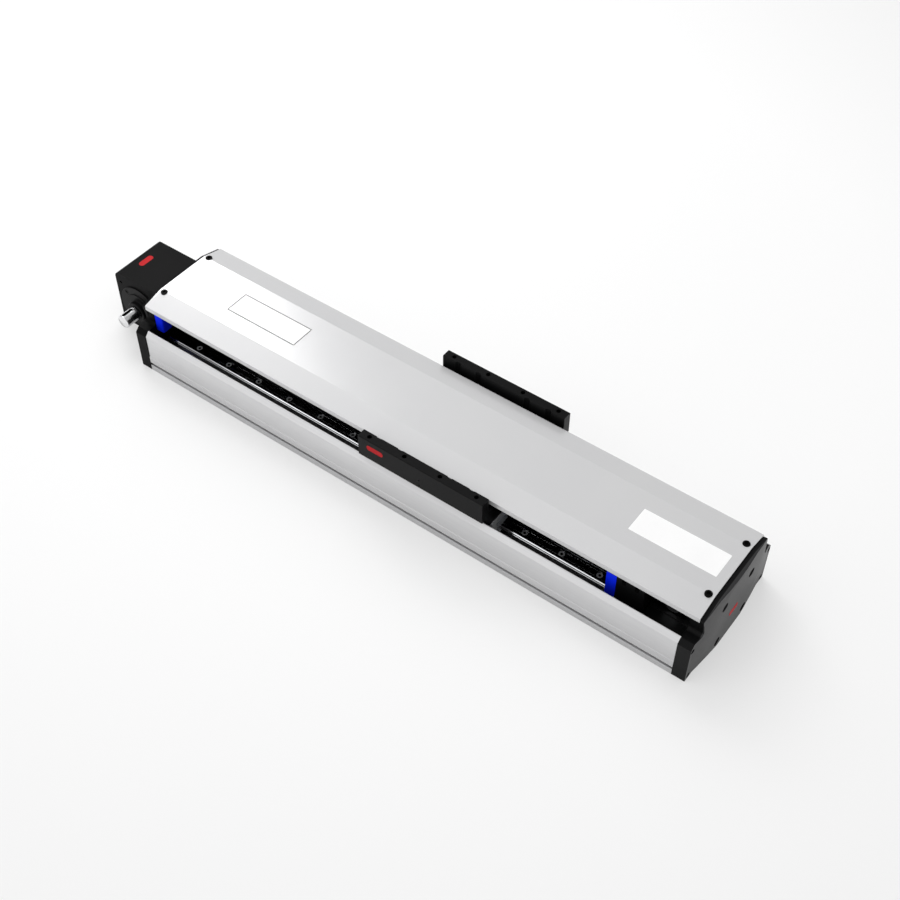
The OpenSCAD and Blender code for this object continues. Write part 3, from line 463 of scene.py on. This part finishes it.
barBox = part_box("bar_near")
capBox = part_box("idler_end_cap")
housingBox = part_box("drive_housing")
redSheet = {"cornerShare": 0.46, "thickness": 0.3 * mm, "rim": 0.6 * mm, "slot": "black_anodised",
            "finish": "redEnamel"}
redPlates = {
    "redPlateHousing": {"size": (0.010, 0.027), "place": (-0.560, 0, housingBox[1].z),
                        "turn": Matrix.Identity(4), "body": "frame"},
    "redPlateBar": {"size": (0.028, 0.009), "place": (-0.0185, barBox[0].y, 0.1065),
                    "turn": Matrix.Rotation(math.radians(90), 4, "X"), "body": "table"},
    "redPlateCap": {"size": (0.010, 0.023), "place": (capBox[1].x, -0.0015, 0.048),
                    "turn": Matrix.Rotation(math.radians(90), 4, "Y"), "body": "frame"},
}
for name, plate in redPlates.items():
    corner = min(plate["size"]) * redSheet["cornerShare"]
    roundedPlate(name, {**redSheet, **plate, "corner": corner})
print("stickers and plates:", len(stickers) + len(redPlates))


# ---- floor, light and camera ----

def paleSurface(name, plan):
    # shows its own pale colour to the camera, less of it to reflections, and takes the object's shadow
    material = bpy.data.materials.new(name)
    material.use_nodes = True
    tree = material.node_tree
    tree.nodes.clear()
    out = addNode(tree, "ShaderNodeOutputMaterial")
    plain = addNode(tree, "ShaderNodeBsdfDiffuse", inputs={"Color": (*plan["tone"], 1)})
    glow = addNode(tree, "ShaderNodeEmission", inputs={"Strength": 1.0})
    mix = addNode(tree, "ShaderNodeMixShader")
    rays = addNode(tree, "ShaderNodeLightPath")
    direct = measureNode(tree, "MULTIPLY", rays.outputs["Is Camera Ray"], plan["share"])
    mirrored = measureNode(tree, "MULTIPLY", rays.outputs["Is Glossy Ray"], plan["mirrorShare"])
    through = measureNode(tree, "MULTIPLY", rays.outputs["Is Transmission Ray"], plan["mirrorShare"])
    amount = measureNode(tree, "MAXIMUM", measureNode(tree, "MAXIMUM", direct, mirrored), through)
    tree.links.new(amount, mix.inputs["Fac"])
    # a slow fall of brightness away from one spot on the floor
    place = addNode(tree, "ShaderNodeTexCoord")
    spread = addNode(tree, "ShaderNodeVectorMath", {"operation": "DISTANCE"})
    spread.inputs[1].default_value = plan["spot"]
    tree.links.new(place.outputs["Object"], spread.inputs[0])
    fall = addNode(tree, "ShaderNodeMapRange", inputs={"From Min": plan["near"], "From Max": plan["far"],
                                                      "To Min": plan["bright"], "To Max": plan["dim"]})
    tree.links.new(spread.outputs["Value"], fall.inputs["Value"])
    tree.links.new(fall.outputs["Result"], glow.inputs["Color"])
    tree.links.new(plain.outputs[0], mix.inputs[1])
    tree.links.new(glow.outputs[0], mix.inputs[2])
    tree.links.new(mix.outputs[0], out.inputs["Surface"])
    return material


floorPlan = {"size": 30.0, "drop": 0.5 * mm, "tone": (0.86, 0.86, 0.86), "share": 0.45,
             "mirrorShare": 0.15, "spot": (-0.2, 0.35, 0), "near": 0.7, "far": 1.3, "bright": 1.0,
             "dim": 0.88}
work = bmesh.new()
bmesh.ops.create_grid(work, x_segments=2, y_segments=2, size=floorPlan["size"] / 2)
floorMesh = bpy.data.meshes.new("studioFloor")
work.to_mesh(floorMesh)
work.free()
floor = bpy.data.objects.new("studioFloor", floorMesh)
bpy.context.scene.collection.objects.link(floor)
floorMesh.materials.append(paleSurface("paleFloor", floorPlan))
floorMesh.transform(Matrix.Translation((0, 0, -floorPlan["drop"])))

# only the lamps marked as seen are mirrored in glossy faces
lamps = {
    "skyBox": {"place": (-1.9, 2.0, 2.7), "aim": (-0.2, 0.0, 0.1), "size": 2.6, "power": 50.0},
    "topBox": {"place": (-1.5, 0.3, 3.0), "aim": (-0.2, 0.0, 0.1), "size": 2.6, "power": 8.0,
               "seen": True},
    "topGlow": {"place": (-2.75, 0.3, 3.0), "aim": (-0.4, 0.0, 0.1), "size": 1.6, "power": 3.6,
                "seen": True},
    "idlerTop": {"place": (0.7, -0.1, 2.8), "aim": (0.2, 0.0, 0.1), "size": 2.0, "power": 11.0},
    "nearBox": {"place": (-1.3, -2.9, 1.75), "aim": (0.0, 0.0, 0.05), "size": 3.4, "power": 22.5,
                "seen": True},
    "railGlow": {"place": (-1.35, -1.55, 2.7), "aim": (0.0, -0.05, 0.05), "size": 1.4, "power": 6.0,
                 "seen": True},
    "endBox": {"place": (2.8, 0.3, 1.6), "aim": (0.4, 0.0, 0.05), "size": 1.8, "power": 10.0},
    "driveGlow": {"place": (-1.99, 0.92, 1.74), "aim": (-0.46, 0.0, 0.1), "size": 1.0, "power": 14.0,
                  "seen": True},
}
for name, lamp in lamps.items():
    data = bpy.data.lights.new(name, "AREA")
    data.shape = "SQUARE"
    data.size = lamp["size"]
    data.energy = lamp["power"]
    light = bpy.data.objects.new(name, data)
    bpy.context.scene.collection.objects.link(light)
    light.location = lamp["place"]
    light.rotation_euler = (Vector(lamp["aim"]) - Vector(lamp["place"])).to_track_quat("-Z", "Y").to_euler()
    light.visible_glossy = lamp.get("seen", False)

world = bpy.data.worlds.new("studio")
bpy.context.scene.world = world
world.use_nodes = True
sky = world.node_tree.nodes["Background"]
sky.inputs["Color"].default_value = (1, 1, 1, 1)
# the same soft grey light all round, and a pale background behind the floor's edge
skyPlan = {"light": 0.5, "shown": 0.96}
skyRays = addNode(world.node_tree, "ShaderNodeLightPath")
skyLevel = addNode(world.node_tree, "ShaderNodeMapRange", inputs={"To Min": skyPlan["light"],
                                                                "To Max": skyPlan["shown"]})
world.node_tree.links.new(skyRays.outputs["Is Camera Ray"], skyLevel.inputs["Value"])
world.node_tree.links.new(skyLevel.outputs["Result"], sky.inputs["Strength"])

cameraPlan = {"place": (0.8191, -1.0699, 1.5282), "view": (-0.3959, 0.5383, -0.7439), "roll": 0.311,
              "lens": 55.86, "sensor": 36.0, "reach": 100}
cameraData = bpy.data.cameras.new("camera")
cameraData.lens = cameraPlan["lens"]
cameraData.sensor_width = cameraPlan["sensor"]
cameraData.sensor_fit = "HORIZONTAL"
camera = bpy.data.objects.new("camera", cameraData)
bpy.context.scene.collection.objects.link(camera)
camera.location = cameraPlan["place"]
camera.rotation_mode = "QUATERNION"
camera.rotation_quaternion = (Vector(cameraPlan["view"]).to_track_quat("-Z", "Y")
                              @ Quaternion((0, 0, 1), math.radians(cameraPlan["roll"])))
cameraData.clip_end = cameraPlan["reach"]
bpy.context.scene.camera = camera
bpy.context.scene.view_settings.view_transform = "Standard"
print("stage, lamps and camera set")
